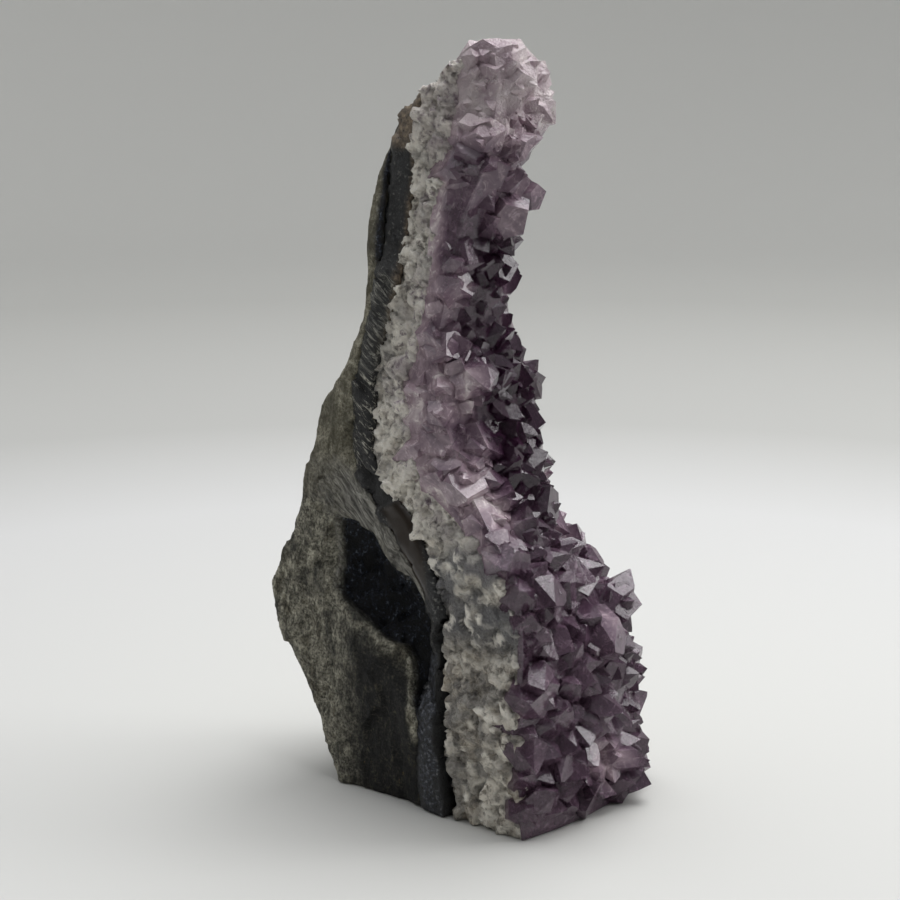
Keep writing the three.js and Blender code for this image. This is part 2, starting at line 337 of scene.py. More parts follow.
class AmethystSettings(bpy.types.PropertyGroup):
    """Sizes and colours of the amethyst."""

    spacing: length("Crystal spacing", "Least distance between the roots of field crystals", 3.7, 1)
    crystal: length("Crystal radius", "Radius of a middling field crystal", 3.9, 0.5)
    seed: IntProperty(name="Seed", description="Changes where the crystals stand", default=7, min=0)
    density: FloatProperty(
        name="Absorption",
        description="Strength of the purple inside the crystals, per metre",
        default=240.0,
        min=0.0,
    )
    inside: tone("Inside", "Colour of light that has passed through the crystal", "#ba98b1")


class StageSettings(bpy.types.PropertyGroup):
    """The floor, the lights and the camera."""

    floor_size: length("Floor", "Radius of the flat floor", 1300, 500)
    sweep: length("Sweep", "Radius of the curve from the floor up to the wall", 700, 10)
    wall: length("Wall", "Height of the wall all round", 1500, 100)
    drop: length("Drop", "How far the floor lies under the base", 0.3)
    sky: FloatProperty(name="Sky", description="Strength of the light all round", default=1.3)
    overhead: FloatProperty(
        name="Overhead", description="Power of the softbox overhead", default=12.0, unit="POWER"
    )
    window: FloatProperty(
        name="Window", description="Power of the soft light from the right", default=3.0, unit="POWER"
    )
    lens: FloatProperty(
        name="Lens", description="Camera's focal length", default=76.8, min=10.0, unit="CAMERA"
    )


# ---------------------------------------------------------------- materials


def weathered_basalt(settings):
    """Basalt broken from the lava and weathered: a dull greenish grey stone with fibrous streaks,
    and smooth blue-black glassy basalt where it is freshly broken, painted near black in the hollow
    and its pit, part its own colour and part painted shade, and near black below the fold as
    painted shade."""
    material, tree = new_material("weathered_basalt_broken")
    plain = millimetres(tree)
    upright = millimetres(tree, (1, 1, 0.25), -8)
    slanting = millimetres(tree, (1, 1, 0.2), 46)
    # Each pattern's space, its width in millimetres, and its detail, roughness and distortion.
    broad, fibres, mottle, flutes, speck, spots = (
        add(
            tree,
            "ShaderNodeTexNoise",
            {"Vector": space, "Scale": 1 / width, "Detail": depth, "Roughness": rough, "Distortion": bend},
        )
        for space, width, depth, rough, bend in (
            (plain, 10, 5, 0.6, 0.5),
            (upright, 1.7, 8, 0.72, 1.4),
            (plain, 3.2, 9, 0.72, 0.8),
            (slanting, 1.6, 7, 0.66, 1.6),
            (plain, 0.7, 4, 0.7, 0.0),
            (plain, 3.4, 4, 0.75, 1.2),
        )
    )
    hollow, greenish, painted_shade_under_fold, ledge, stained = (
        add(tree, "ShaderNodeAttribute", out="Fac", attribute_name=name)
        for name in ("hollow", "green", "painted_shade_under_fold", "ledge", "rust")
    )
    mixed = add(tree, "ShaderNodeMix", {0: 0.55, 2: fibres, 3: mottle}, 0, data_type="FLOAT")
    gritty = add(tree, "ShaderNodeMix", {0: 0.35, 2: mixed, 3: speck}, 0, data_type="FLOAT")
    streaked = add(
        tree,
        "ShaderNodeValToRGB",
        {"Fac": gritty},
        stops=[(0.41, "#24231f"), (0.47, "#6a6860"), (0.52, "#a8a599"), (0.6, "#ece9da")],
    )
    body = add(
        tree, "ShaderNodeMix", {0: 0.15, 6: streaked, 7: tuple(settings.body)}, 2, data_type="RGBA"
    )
    patch = add(
        tree,
        "ShaderNodeValToRGB",
        {"Fac": broad},
        stops=[(0.38, "#5f605e"), (0.45, "#b9b7ae"), (0.53, "#fffef6"), (0.61, "#959081")],
    )
    patched = add(
        tree, "ShaderNodeMix", {0: 0.85, 6: body, 7: patch}, 2, data_type="RGBA", blend_type="MULTIPLY"
    )
    lichen = add(tree, "ShaderNodeMath", {0: greenish, 1: 0.3}, operation="MULTIPLY")
    green = add(tree, "ShaderNodeMix", {0: lichen, 6: patched, 7: "#827c64"}, 2, data_type="RGBA")
    # Painted shade: near-black tones painted below the fold, under its bulge.
    painted_shade_tones = add(
        tree,
        "ShaderNodeValToRGB",
        {"Fac": gritty},
        stops=[(0.42, "#050505"), (0.48, "#131312"), (0.53, "#2a2927"), (0.61, "#5a5646")],
    )
    painted_shade = add(tree, "ShaderNodeMix", {0: painted_shade_under_fold, 6: green, 7: painted_shade_tones}, 2, data_type="RGBA")
    fluted = add(
        tree,
        "ShaderNodeValToRGB",
        {"Fac": flutes},
        stops=[(0.36, "#3a3936"), (0.46, "#63615c"), (0.54, "#8b8982"), (0.66, "#bdbbb1")],
    )
    ledged = add(tree, "ShaderNodeMix", {0: ledge, 6: painted_shade, 7: fluted}, 2, data_type="RGBA")
    # The hollow field's tones are near black with blue-grey flecks. This is the glassy basalt's own
    # blue-black, darkened to near black as painted shade of the hollow and its pit. The black agate band
    # painted on the basalt uses them too.
    black = add(
        tree,
        "ShaderNodeValToRGB",
        {"Fac": gritty},
        stops=[(0.47, "#010102"), (0.51, "#070a12"), (0.55, "#232a39"), (0.6, "#7d858f")],
    )
    dark = add(
        tree, "ShaderNodeMapRange", {"Value": speck, "From Min": 0.58, "From Max": 0.7, "To Max": 0.5}
    )
    specks = add(tree, "ShaderNodeMix", {0: dark, 6: ledged, 7: "#141311"}, 2, data_type="RGBA")
    fresh_break_and_painted_shade = add(tree, "ShaderNodeMix", {0: hollow, 6: specks, 7: black}, 2, data_type="RGBA")
    spotted = add(
        tree,
        "ShaderNodeMapRange",
        {"Value": spots, "From Min": 0.64, "From Max": 0.71},
        interpolation_type="SMOOTHSTEP",
    )
    rust = add(tree, "ShaderNodeMath", {0: spotted, 1: stained}, operation="MULTIPLY")
    rusty = add(tree, "ShaderNodeMix", {0: rust, 6: fresh_break_and_painted_shade, 7: "#6d5a34"}, 2, data_type="RGBA")
    weathering = add(
        tree,
        "ShaderNodeMapRange",
        {"Value": fibres, "From Min": 0.3, "From Max": 0.75, "To Min": 0.6, "To Max": 0.95},
    )
    roughness = add(tree, "ShaderNodeMix", {0: hollow, 2: weathering, 3: 0.4}, 0, data_type="FLOAT")
    normal = add(tree, "ShaderNodeBump", {"Height": mixed, "Distance": 1.2 * MM, "Strength": 0.8})
    normal = add(
        tree,
        "ShaderNodeBump",
        {"Height": speck, "Distance": 0.5 * MM, "Strength": 0.8, "Normal": normal},
    )
    shader = add(
        tree,
        "ShaderNodeBsdfPrincipled",
        {"Base Color": rusty, "Roughness": roughness, "Normal": normal, "IOR": 1.42},
    )
    add(tree, "ShaderNodeOutputMaterial", {"Surface": shader})
    return material


def dark_agate(settings):
    """Agate rind broken across: nearly black and satin, scratched where something dragged over
    it, dusty blue-grey low down, rusty at its tip, with one brown glassy face, and painted shade
    in near black along the gap to the basalt, at the crack's edge and in the recessed wedge."""
    material, tree = new_material("dark_agate_broken")
    plain = millimetres(tree)
    slanting = millimetres(tree, (1, 1, 0.16), 52)
    scratches = add(
        tree,
        "ShaderNodeTexNoise",
        {"Vector": slanting, "Scale": 1 / 0.9, "Detail": 8, "Roughness": 0.7, "Distortion": 0.7},
    )
    speck = add(
        tree, "ShaderNodeTexNoise", {"Vector": plain, "Scale": 1 / 1.1, "Detail": 5, "Roughness": 0.7}
    )
    scratched, streaked, dusty, glassy, deep, rust = (
        add(tree, "ShaderNodeAttribute", out="Fac", attribute_name=name)
        for name in ("scratched", "streaked", "dusty", "brown", "black", "rust")
    )
    chipped = add(
        tree,
        "ShaderNodeValToRGB",
        {"Fac": speck},
        stops=[(0.44, "#020203"), (0.52, "#0a0a0c"), (0.58, "#36373a"), (0.65, "#97968e")],
    )
    body = add(
        tree, "ShaderNodeMix", {0: 0.3, 6: chipped, 7: tuple(settings.body)}, 2, data_type="RGBA"
    )
    scored = add(
        tree,
        "ShaderNodeValToRGB",
        {"Fac": scratches},
        stops=[(0.5, "#050506"), (0.54, "#1a1a19"), (0.575, "#75736a"), (0.63, "#cbc8ba")],
    )
    lined = add(tree, "ShaderNodeMix", {0: scratched, 6: body, 7: scored}, 2, data_type="RGBA")
    greyed = add(
        tree,
        "ShaderNodeValToRGB",
        {"Fac": scratches},
        stops=[(0.42, "#090909"), (0.5, "#2a2a28"), (0.56, "#6a6962"), (0.64, "#a3a196")],
    )
    grey = add(tree, "ShaderNodeMix", {0: streaked, 6: lined, 7: greyed}, 2, data_type="RGBA")
    dust = add(
        tree,
        "ShaderNodeValToRGB",
        {"Fac": speck},
        stops=[(0.4, "#06070a"), (0.49, "#1c1f26"), (0.56, "#3d414b"), (0.64, "#73757b")],
    )
    powdered = add(tree, "ShaderNodeMix", {0: dusty, 6: grey, 7: dust}, 2, data_type="RGBA")
    brown = add(tree, "ShaderNodeMix", {0: glassy, 6: powdered, 7: "#261c12"}, 2, data_type="RGBA")
    tan = add(
        tree,
        "ShaderNodeValToRGB",
        {"Fac": speck},
        stops=[(0.36, "#3f352b"), (0.46, "#5f5243"), (0.55, "#7d6d59"), (0.68, "#a39580")],
    )
    # Near black from the black field: the agate's own black band, and painted shade in the wedge, along
    # the gap to the basalt and at the crack's edge.
    black = add(tree, "ShaderNodeMix", {0: deep, 6: brown, 7: "#050506"}, 2, data_type="RGBA")
    rusty = add(tree, "ShaderNodeMix", {0: rust, 6: black, 7: tan}, 2, data_type="RGBA")
    satin = add(
        tree,
        "ShaderNodeMapRange",
        {"Value": speck, "From Min": 0.35, "From Max": 0.7, "To Min": 0.25, "To Max": 0.7},
    )
    roughness = add(tree, "ShaderNodeMix", {0: glassy, 2: satin, 3: 0.3}, 0, data_type="FLOAT")
    relief = add(tree, "ShaderNodeMapRange", {"Value": glassy, "To Min": 0.8, "To Max": 0.1})
    normal = add(
        tree, "ShaderNodeBump", {"Height": scratches, "Distance": 0.5 * MM, "Strength": relief}
    )
    normal = add(
        tree,
        "ShaderNodeBump",
        {"Height": speck, "Distance": 0.5 * MM, "Strength": relief, "Normal": normal},
    )
    shader = add(
        tree,
        "ShaderNodeBsdfPrincipled",
        {"Base Color": rusty, "Roughness": roughness, "Normal": normal, "IOR": 1.54},
    )
    add(tree, "ShaderNodeOutputMaterial", {"Surface": shader})
    return material


def milky_quartz(settings):
    """Granular milky quartz broken across: white, cream and grey grains, a little clear at their
    edges, with dirt in the joints between them."""
    material, tree = new_material("milky_quartz_granular")
    plain = millimetres(tree)
    broad, mottle, fine = (
        add(
            tree,
            "ShaderNodeTexNoise",
            {"Vector": plain, "Scale": 1 / width, "Detail": 4, "Roughness": rough, "Distortion": bend},
        )
        for width, rough, bend in ((9, 0.6, 0.6), (2.6, 0.6, 0.2), (0.6, 0.7, 0.0))
    )
    grain, clear, lavender, low, frost, joint = (
        add(tree, "ShaderNodeAttribute", out="Fac", attribute_name=name)
        for name in ("grain", "glassy", "lilac", "low", "white", "joint")
    )
    sugar = add(tree, "ShaderNodeTexVoronoi", {"Vector": plain, "Scale": 1 / 1.1}, "Distance")
    tones = add(
        tree,
        "ShaderNodeValToRGB",
        {"Fac": mottle},
        stops=[(0.38, "#716e6a"), (0.46, "#b8b3ab"), (0.52, "#e9e4da"), (0.59, "#fffdf7")],
    )
    body = add(
        tree, "ShaderNodeMix", {0: 0.25, 6: tones, 7: tuple(settings.body)}, 2, data_type="RGBA"
    )
    tints = add(
        tree,
        "ShaderNodeValToRGB",
        {"Fac": grain},
        stops=[(0.2, "#a6a3a0"), (0.4, "#e6e1d9"), (0.65, "#fffefa"), (0.85, "#f5ebd8")],
    )
    tinted = add(
        tree, "ShaderNodeMix", {0: 0.9, 6: body, 7: tints}, 2, data_type="RGBA", blend_type="MULTIPLY"
    )
    warm = add(
        tree,
        "ShaderNodeMapRange",
        {"Value": broad, "From Min": 0.52, "From Max": 0.66, "To Max": 0.35},
        interpolation_type="SMOOTHSTEP",
    )
    cream = add(tree, "ShaderNodeMix", {0: warm, 6: tinted, 7: "#cdc1aa"}, 2, data_type="RGBA")
    grey = add(tree, "ShaderNodeMix", {0: clear, 6: cream, 7: "#6b6a6b"}, 2, data_type="RGBA")
    lilac = add(tree, "ShaderNodeMix", {0: lavender, 6: grey, 7: "#8d7d86"}, 2, data_type="RGBA")
    lower = add(tree, "ShaderNodeMath", {0: low, 1: 0.35}, operation="MULTIPLY")
    dull = add(
        tree,
        "ShaderNodeMix",
        {0: lower, 6: lilac, 7: "#8f8a87"},
        2,
        data_type="RGBA",
        blend_type="MULTIPLY",
    )
    frosted = add(
        tree,
        "ShaderNodeMapRange",
        {"Value": mottle, "From Min": 0.37, "From Max": 0.49, "To Max": frost},
    )
    white = add(tree, "ShaderNodeMix", {0: frosted, 6: dull, 7: "#f3eee3"}, 2, data_type="RGBA")
    dirt = add(
        tree, "ShaderNodeValToRGB", {"Fac": broad}, stops=[(0.45, "#34322f"), (0.55, "#dedbd2")]
    )
    joints = add(tree, "ShaderNodeMix", {0: joint, 6: white, 7: dirt}, 2, data_type="RGBA")
    roughness = add(
        tree,
        "ShaderNodeMapRange",
        {"Value": fine, "From Min": 0.35, "From Max": 0.7, "To Min": 0.15, "To Max": 0.5},
    )
    normal = add(tree, "ShaderNodeBump", {"Height": mottle, "Distance": 1.0 * MM, "Strength": 0.7})
    for height, deep, strength in ((sugar, 0.5, 0.8), (fine, 0.3, 0.6)):
        normal = add(
            tree,
            "ShaderNodeBump",
            {"Height": height, "Distance": deep * MM, "Strength": strength, "Normal": normal},
        )
    shader = add(
        tree,
        "ShaderNodeBsdfPrincipled",
        {
            "Base Color": joints,
            "Roughness": roughness,
            "Normal": normal,
            "IOR": 1.544,
            "Subsurface Weight": 0.3,
            "Subsurface Radius": (1.0, 0.95, 0.9),
            "Subsurface Scale": 0.0015,
        },
    )
    add(tree, "ShaderNodeOutputMaterial", {"Surface": shader})
    return material


def clear_amethyst(settings):
    """Amethyst as grown: glossy crystal faces, clear purple inside, milky with healed cracks
    towards the crest and along the broken end, and painted darkest, as painted shade, where the
    wall curves in."""
    material, tree = new_material("amethyst_crystal_natural_faces")
    plain = millimetres(tree)
    cloud, veil, fine, sugar = (
        add(
            tree,
            "ShaderNodeTexNoise",
            {"Vector": plain, "Scale": 1 / width, "Detail": depth, "Roughness": rough, "Distortion": bend},
        )
        for width, depth, rough, bend in (
            (7, 4, 0.6, 0.6),
            (2, 5, 0.7, 0.8),
            (0.6, 3, 0.6, 0.0),
            (1.5, 4, 0.65, 0.0),
        )
    )
    milk, frost, shade = (
        add(tree, "ShaderNodeAttribute", out="Fac", attribute_name=name)
        for name in ("milk", "frost", "dark")
    )
    drift = add(
        tree,
        "ShaderNodeMapRange",
        {"Value": cloud, "From Min": 0.35, "From Max": 0.7, "To Min": 0.45, "To Max": 1.0},
    )
    cloudy = add(tree, "ShaderNodeMath", {0: milk, 1: drift}, operation="MULTIPLY")
    flaws = add(
        tree,
        "ShaderNodeMapRange",
        {"Value": veil, "From Min": 0.52, "From Max": 0.72, "To Max": 0.35},
    )
    veined = add(tree, "ShaderNodeMath", {0: cloudy, 1: flaws}, operation="ADD", use_clamp=True)
    veiled = add(tree, "ShaderNodeMath", {0: veined, 1: frost}, operation="MAXIMUM")
    colour = add(
        tree,
        "ShaderNodeValToRGB",
        {"Fac": veiled},
        stops=[(0.0, "#4d3448"), (0.3, "#8a7083"), (0.7, "#c6afb9"), (1.0, "#fbf0ef")],
    )
    clear = add(tree, "ShaderNodeMapRange", {"Value": veiled, "To Min": 0.62, "To Max": 0.2})
    roughness = add(
        tree,
        "ShaderNodeMapRange",
        {"Value": fine, "From Min": 0.4, "From Max": 0.75, "To Min": 0.04, "To Max": 0.22},
    )
    # Painted shade: the dark field turns the colour deep purple where the wall curves in.
    shaded = add(tree, "ShaderNodeMix", {0: shade, 6: colour, 7: "#46203e"}, 2, data_type="RGBA")
    normal = add(tree, "ShaderNodeBump", {"Height": veil, "Distance": 0.25 * MM, "Strength": 0.3})
    normal = add(
        tree,
        "ShaderNodeBump",
        {"Height": sugar, "Distance": 1.2 * MM, "Strength": frost, "Normal": normal},
    )
    shader = add(
        tree,
        "ShaderNodeBsdfPrincipled",
        {
            "Base Color": shaded,
            "Roughness": roughness,
            "Normal": normal,
            "IOR": 1.544,
            "Transmission Weight": clear,
        },
    )
    inside = add(
        tree,
        "ShaderNodeVolumeAbsorption",
        {"Color": tuple(settings.inside), "Density": settings.density},
    )
    add(tree, "ShaderNodeOutputMaterial", {"Surface": shader, "Volume": inside})
    return material


# The way the open, unlit side of the studio lies.
FRONT = (-0.77, -0.64, 0.0)
SWEEP_STEPS = 12
FLOOR_SIDES = 96
CAMERA_TURN = math.radians(-50)  # from straight in front, round the specimen
CAMERA_RISE = math.radians(12)
CAMERA_REACH = 480 * MM
CAMERA_AIM = Vector((-25.7, -17.1, 97.0)) * MM  # where the camera stands is measured from here
CAMERA_LOOK = Vector((-27.8, -14.6, 97.0)) * MM  # what lies in the middle of its picture


def studio_paper():
    """Matte white card that greys away from the middle as its light falls off, most of all
    towards the unlit side of the studio."""
    material, tree = new_material("matte_studio_card")
    reach = add(
        tree, "ShaderNodeVectorMath", {0: millimetres(tree)}, "Value", operation="LENGTH"
    )
    tones = add(
        tree,
        "ShaderNodeValToRGB",
        {"Fac": add(tree, "ShaderNodeMapRange", {"Value": reach, "From Max": 2000})},
        stops=[
            (0.0, "#c7c7c3"), (0.16, "#c2c2c1"), (0.25, "#aeaeab"), (0.5, "#b3b3af"), (1.0, "#dcdcd8"),
        ],
    )
    way = add(tree, "ShaderNodeVectorMath", {0: millimetres(tree)}, operation="NORMALIZE")
    front = add(
        tree, "ShaderNodeVectorMath", {0: way, 1: FRONT}, "Value", operation="DOT_PRODUCT"
    )
    unlit = add(
        tree, "ShaderNodeMapRange", {"Value": front, "From Min": -0.35, "From Max": 0.45, "To Max": 0.8}
    )
    shade = add(
        tree,
        "ShaderNodeMapRange",
        {
            "Value": reach,
            "From Min": 300,
            "From Max": 900,
            "To Min": 1.0,
            "To Max": add(tree, "ShaderNodeMath", {0: 1.0, 1: unlit}, operation="SUBTRACT"),
        },
    )
    shaded = add(tree, "ShaderNodeVectorMath", {0: tones, "Scale": shade}, operation="SCALE")
    shader = add(tree, "ShaderNodeBsdfPrincipled", {"Base Color": shaded, "Roughness": 0.95})
    add(tree, "ShaderNodeOutputMaterial", {"Surface": shader})
    return material


# ---------------------------------------------------------------- the pieces

# The broken left end's features, as (y, z) corners in millimetres.
HOLLOW = [
    (25.9, 73.0), (19.4, 72.6), (11.4, 70.8), (4.9, 65.6), (0.9, 60.5), (-2.6, 55.6), (-13.6, 50.0),
    (-13.6, 22.0), (-6.0, 20.0), (-4.0, 26.0), (-1.8, 31.5), (0.1, 37.8), (3.6, 41.2), (10.7, 42.4),
    (16.8, 46.2), (21.5, 50.0), (25.3, 53.6), (25.9, 61.9),
]
CAVITY = [(2.5, 62.5), (-1.6, 62.4), (-6.9, 55.4), (-10.9, 50.5), (-5.6, 48.5), (-1.0, 55.6)]
LEDGE = [
    (34.0, 86.5), (28.0, 89.0), (21.0, 86.0), (12.7, 80.5), (9.7, 77.0), (4.1, 71.2), (-1.4, 66.8),
    (-6.9, 59.8), (-11.3, 52.8), (-8.1, 51.5), (-3.1, 58.0), (2.4, 64.0), (8.4, 69.5), (19.4, 73.0),
    (27.0, 74.0), (33.0, 79.0),
]
FOLD = [(-4.6, 20.0), (-2.2, 31.5), (1.9, 38.8), (7.1, 41.8), (16.1, 45.5), (24.3, 53.6)]
GLASSY_AGATE = [
    (4.0, 80.4), (8.7, 78.0), (1.3, 69.8), (-6.9, 58.6), (-10.2, 57.5), (-4.5, 70.8), (-1.4, 76.8),
]
AGATE_WEDGE = [(15.2, 84.6), (15.9, 89.0), (8.7, 84.4), (4.0, 80.6), (8.9, 78.0), (13.8, 80.5)]
# The heights between which the large crystals of the foot and those of the field stand.
FOOT = (2, 76)
FIELD = (70, 200)
# Where the palest crystals stand, and how far the paleness reaches.
PALE_CRYSTALS = [((-10.0, -22.0, 154.0), 8.0), ((-2.0, -46.0, 15.0), 9.0), ((4.0, -43.0, 52.0), 6.0)]
# Where the crack behind the quartz starts, as y at a height.
CRACK = [(0, -15.4), (4, -15.0), (12, -13.1), (20, -11.9), (30, -11.3), (47, -10.7), (54, -13.4)]


def left_facing(normals):
    """1 on the broken left end, fading out round its corners."""
    return ease(-normals[:, 0], 0.3, 0.7)


class GEODE_OT_basalt(bpy.types.Operator):
    """Carve the weathered basalt behind the crystals"""

    bl_idname = "geode.basalt"
    bl_label = "Basalt"

    def execute(self, context):
        settings = context.scene.geode_basalt
        rock = fine_copy("basalt_matrix", "basalt", settings.skin, relax=8)
        streak = settings.streak / MM
        depth = settings.hollow / MM

        def shape(points, normals):
            y, z = points[:, 1], points[:, 2]
            facing = left_facing(normals)
            wy = y + 0.7 * noise(points, 7, 3, 3)
            wz = z + 0.9 * noise(points, 8, 4, 3)
            inside = depth_inside(HOLLOW, wy, wz)
            hollow = ease(inside, -0.3, 0.7) * facing
            left = ease(-points[:, 0], 8, 12)
            opened = ease(inside, -0.3, 0.7) * left
            scoop = (ease(inside, -0.3, 0.8) * 1.8 + ease(inside, 0, 8.0) * depth) * facing
            # The pit is cut deeper and painted near black through the hollow field, as painted shade.
            pit = depth_inside(CAVITY, wy, wz)
            cavity = ease(pit, -0.4, 0.8) * facing
            lean = points @ np.array(Matrix.Rotation(math.radians(-8), 3, "X"))
            fibres = noise(lean, (2.6, 1.3, 8), 11, 3) * streak
            ridges = (1 - np.abs(noise(lean, (8, 6, 26), 12, 2))) ** 3 * 0.5
            lumps = noise(points, 19, 5, 2) * 1.6 + noise(points, 5.5, 6, 3) * 0.5
            warped = points + 2.5 * np.stack([noise(points, 9, 8 + k, 2) for k in range(3)], axis=-1)
            tilt = grains(warped, (12, 12, 20), 21)[0] * (0.25 + 0.5 * facing)
            broken = grains(points, (4.0, 4.0, 5.5), 23)[0]
            bulge = 2.2 * np.exp(-((reach_of(FOLD, wy, wz) / 5.5) ** 2)) * facing
            height = fibres + ridges + lumps + tilt * (1 - 0.6 * hollow) + bulge * (1 - hollow)
            height = height + broken * 1.3 * hollow - scoop - cavity * 3.0
            strip = depth_inside(LEDGE, y + 2.0 * noise(points, 9, 15, 3), wz)
            ledge = ease(strip, -3.5, 2.5) * facing * (1 - hollow)
            across = points @ np.array(Matrix.Rotation(math.radians(-46), 3, "X"))
            height = height + ledge * (0.5 - 0.45 * np.abs(noise(across, (3, 2.4, 14), 14, 2)))
            behind_rind = ease(-normals[:, 1], 0.4, 0.8) * (1 - facing)
            height = height * (1 - behind_rind) - 0.9 * behind_rind
            rim = np.exp(-((inside + 0.7) / 0.8) ** 2) * facing * ease(z, 50, 56)
            # Painted shade: the basalt below the fold is painted near black, more the further under it.
            fold_y, fold_z = zip(*FOLD)
            under = np.interp(wy, fold_y, fold_z) - wz
            under = under + 30 * ease(-wy, 4, 7) * ease(-wz, -44, -38)
            painted_shade_under_fold = ease(under, 0.5, 6.0) * ease(-wy, -28, -12)
            painted_shade_under_fold = painted_shade_under_fold * ease(noise(points, 11, 17, 3) + ease(under, 0, 9), -0.3, 0.4)
            band = between(z, 138, 175, 5) * ease(-y, -15.8, -15.0)
            # The hollow field paints the opened break near black, part its own blue-black and part painted
            # shade. It paints the pit as painted shade, and the band as the agate's own black.
            fields = {
                "hollow": np.maximum.reduce([opened, cavity, band * facing]),
                "ledge": np.maximum(ledge * (0.45 + 0.5 * ease(-y, -32, -18)), rim * 0.7),
                "green": ease(z, 76, 92) * (1 - ease(z, 172, 178)),
                "painted_shade_under_fold": painted_shade_under_fold * left,
                "rust": np.maximum(ease(-z, -26, -6) * 0.8, ease(z, 171, 175)),
            }
            return normals * height[:, None], fields

        carve(rock, shape)
        settle(rock, weathered_basalt(settings), "basalt", "basalt_matrix")
        return {"FINISHED"}


class GEODE_OT_rind(bpy.types.Operator):
    """Carve the dark agate rind between the basalt and the quartz"""

    bl_idname = "geode.rind"
    bl_label = "Agate rind"

    def execute(self, context):
        settings = context.scene.geode_rind
        rock = fine_copy("agate_rind", "rind", settings.skin)
        step = settings.grain / MM

        def shape(points, normals):
            y, z = points[:, 1], points[:, 2]
            facing = left_facing(normals)
            wy = y + 0.6 * noise(points, 5, 43, 2)
            wz = z + 0.6 * noise(points, 6, 44, 2)
            tilt = grains(points, (4, 4, 9), 41)[0]
            height = tilt * step + noise(points, 2.2, 42, 3) * 0.4 + 0.5
            glassy = ease(depth_inside(GLASSY_AGATE, wy, wz), -0.2, 0.6) * facing
            # The wedge is cut deeper and painted near black through the black field, as painted shade in
            # the groove.
            wedge = ease(depth_inside(AGATE_WEDGE, wy, wz), -0.3, 0.8) * facing
            heights, starts = zip(*CRACK)
            past = np.interp(wz, heights, starts) - wy
            crack = ease(past, -0.1, 0.7) * ease(-z, -58, -52) * facing
            # A band along the crack's edge is painted near black through the black field: painted shade
            # leading into the crack.
            painted_shade = ease(past, -0.9, -0.3) * ease(-z, -58, -52) * facing
            black = ease(z, 138, 144) * facing
            # The gap along the basalt is painted near black low down: painted shade between the parts.
            seam = ease(-distance_to("basalt_matrix", points), -1.3, -0.7) * ease(-z, -60, -50)
            line = ease(-distance_to("quartz_band", points), -1.2, -0.6) * ease(z, 116, 134)
            rusty = np.maximum(ease(z + 4 * noise(points, 7, 46, 3), 168, 172), line * 0.9)
            dusty = ease(-z, -46, -40) * (1 - painted_shade) * ease(noise(points, 3, 45, 3), -0.9, 0.1)
            height = height * (1 - 0.8 * glassy) + settings.flush / MM * facing
            height = height - wedge * 1.6 - crack * 8.0 - black * 0.8 - (1 - facing) * 0.1
            # The black field mixes the real black band with painted shade in the wedge, at the crack's
            # edge and along the seam.
            fields = {
                "brown": glassy,
                "black": np.maximum.reduce([wedge * 0.9, painted_shade, seam, black * 0.4]),
                "dusty": dusty * facing,
                "scratched": between(z, 85, 114, 3) * facing,
                "streaked": between(z, 112, 141, 4) * facing,
                "rust": rusty * facing,
            }
            return normals * height[:, None], fields

        carve(rock, shape)
        settle(rock, dark_agate(settings), "agate", "agate_rind")
        return {"FINISHED"}


class GEODE_OT_quartz(bpy.types.Operator):
    """Carve the milky granular quartz band"""

    bl_idname = "geode.quartz"
    bl_label = "Milky quartz"

    def execute(self, context):
        settings = context.scene.geode_quartz
        rock = fine_copy("quartz_band", "quartz", settings.skin)
        size = settings.grain / MM
        relief = settings.relief / MM

        def shape(points, normals):
            z = points[:, 2]
            bent = points + 0.9 * np.stack([noise(points, 5, 66 + k, 2) for k in range(3)], axis=-1)
            big, big_edge, big_label = grains(bent, size * 1.9, 61)
            small, small_edge, label = grains(bent, size * 0.8, 62)
            sugar = grains(points, size * 0.42, 69)[0]
            near = distance_to("amethyst_druse", points)
            glassy = between(z, 42, 80, 10) * ease(noise(points, 9, 64, 2), -0.5, 0.1)
            grey = ease(big_label, 0.72, 0.78)
            clean = 1 - 0.5 * glassy
            dome = np.sqrt(np.clip(big_edge, 0, 0.4)) - 0.4
            height = (dome * 1.5 + big * 1.5) * relief + (small * relief * 1.1 + sugar * 0.3) * clean
            height = height + noise(points, 14, 63, 2)
            crest = ease(z, 166, 180)
            swell = 2.4 * ease(normals[:, 1], -0.5, -0.1) * ease(-normals[:, 2], -0.8, -0.3)
            height = height + swell * crest
            joint = ease(-small_edge, -0.10, 0.0) * 0.6 + ease(-big_edge, -0.06, 0.0) * 0.4
            height = height - joint * 0.35
            lilac = ease(-near, -9.0, -1.0) * ease(noise(points, 7, 65, 3), -0.7, 0.4)
            lilac = np.maximum(lilac * ease(z, 62, 78), crest * 0.6)
            white = np.maximum(ease(label, 0.6, 0.9), 0.8 * ease(z, 66, 80))
            fields = {
                "joint": joint * 0.5,
                "grain": 0.55 * big_label + 0.45 * label,
                "glassy": np.maximum(glassy, grey * 0.6),
                "white": white * (0.95 - 0.5 * grey - 0.4 * crest),
                "lilac": lilac,
                "low": ease(-z, -62, -46),
            }
            towards_druse = (normals[:, 1] < -0.5) * 0.9
            return normals * (height + 0.3 + towards_druse)[:, None], fields

        carve(rock, shape)
        settle(rock, milky_quartz(settings), "quartz", "quartz_band")
        return {"FINISHED"}


TIP_SLOPE = math.radians(51.8)  # between a quartz crystal's tip faces and its cross-section
TIP_REACH = 0.48  # of the large tip faces from the shoulders' middle, in radii
ROOT = 1.5  # radii from the shoulders' middle down to the root


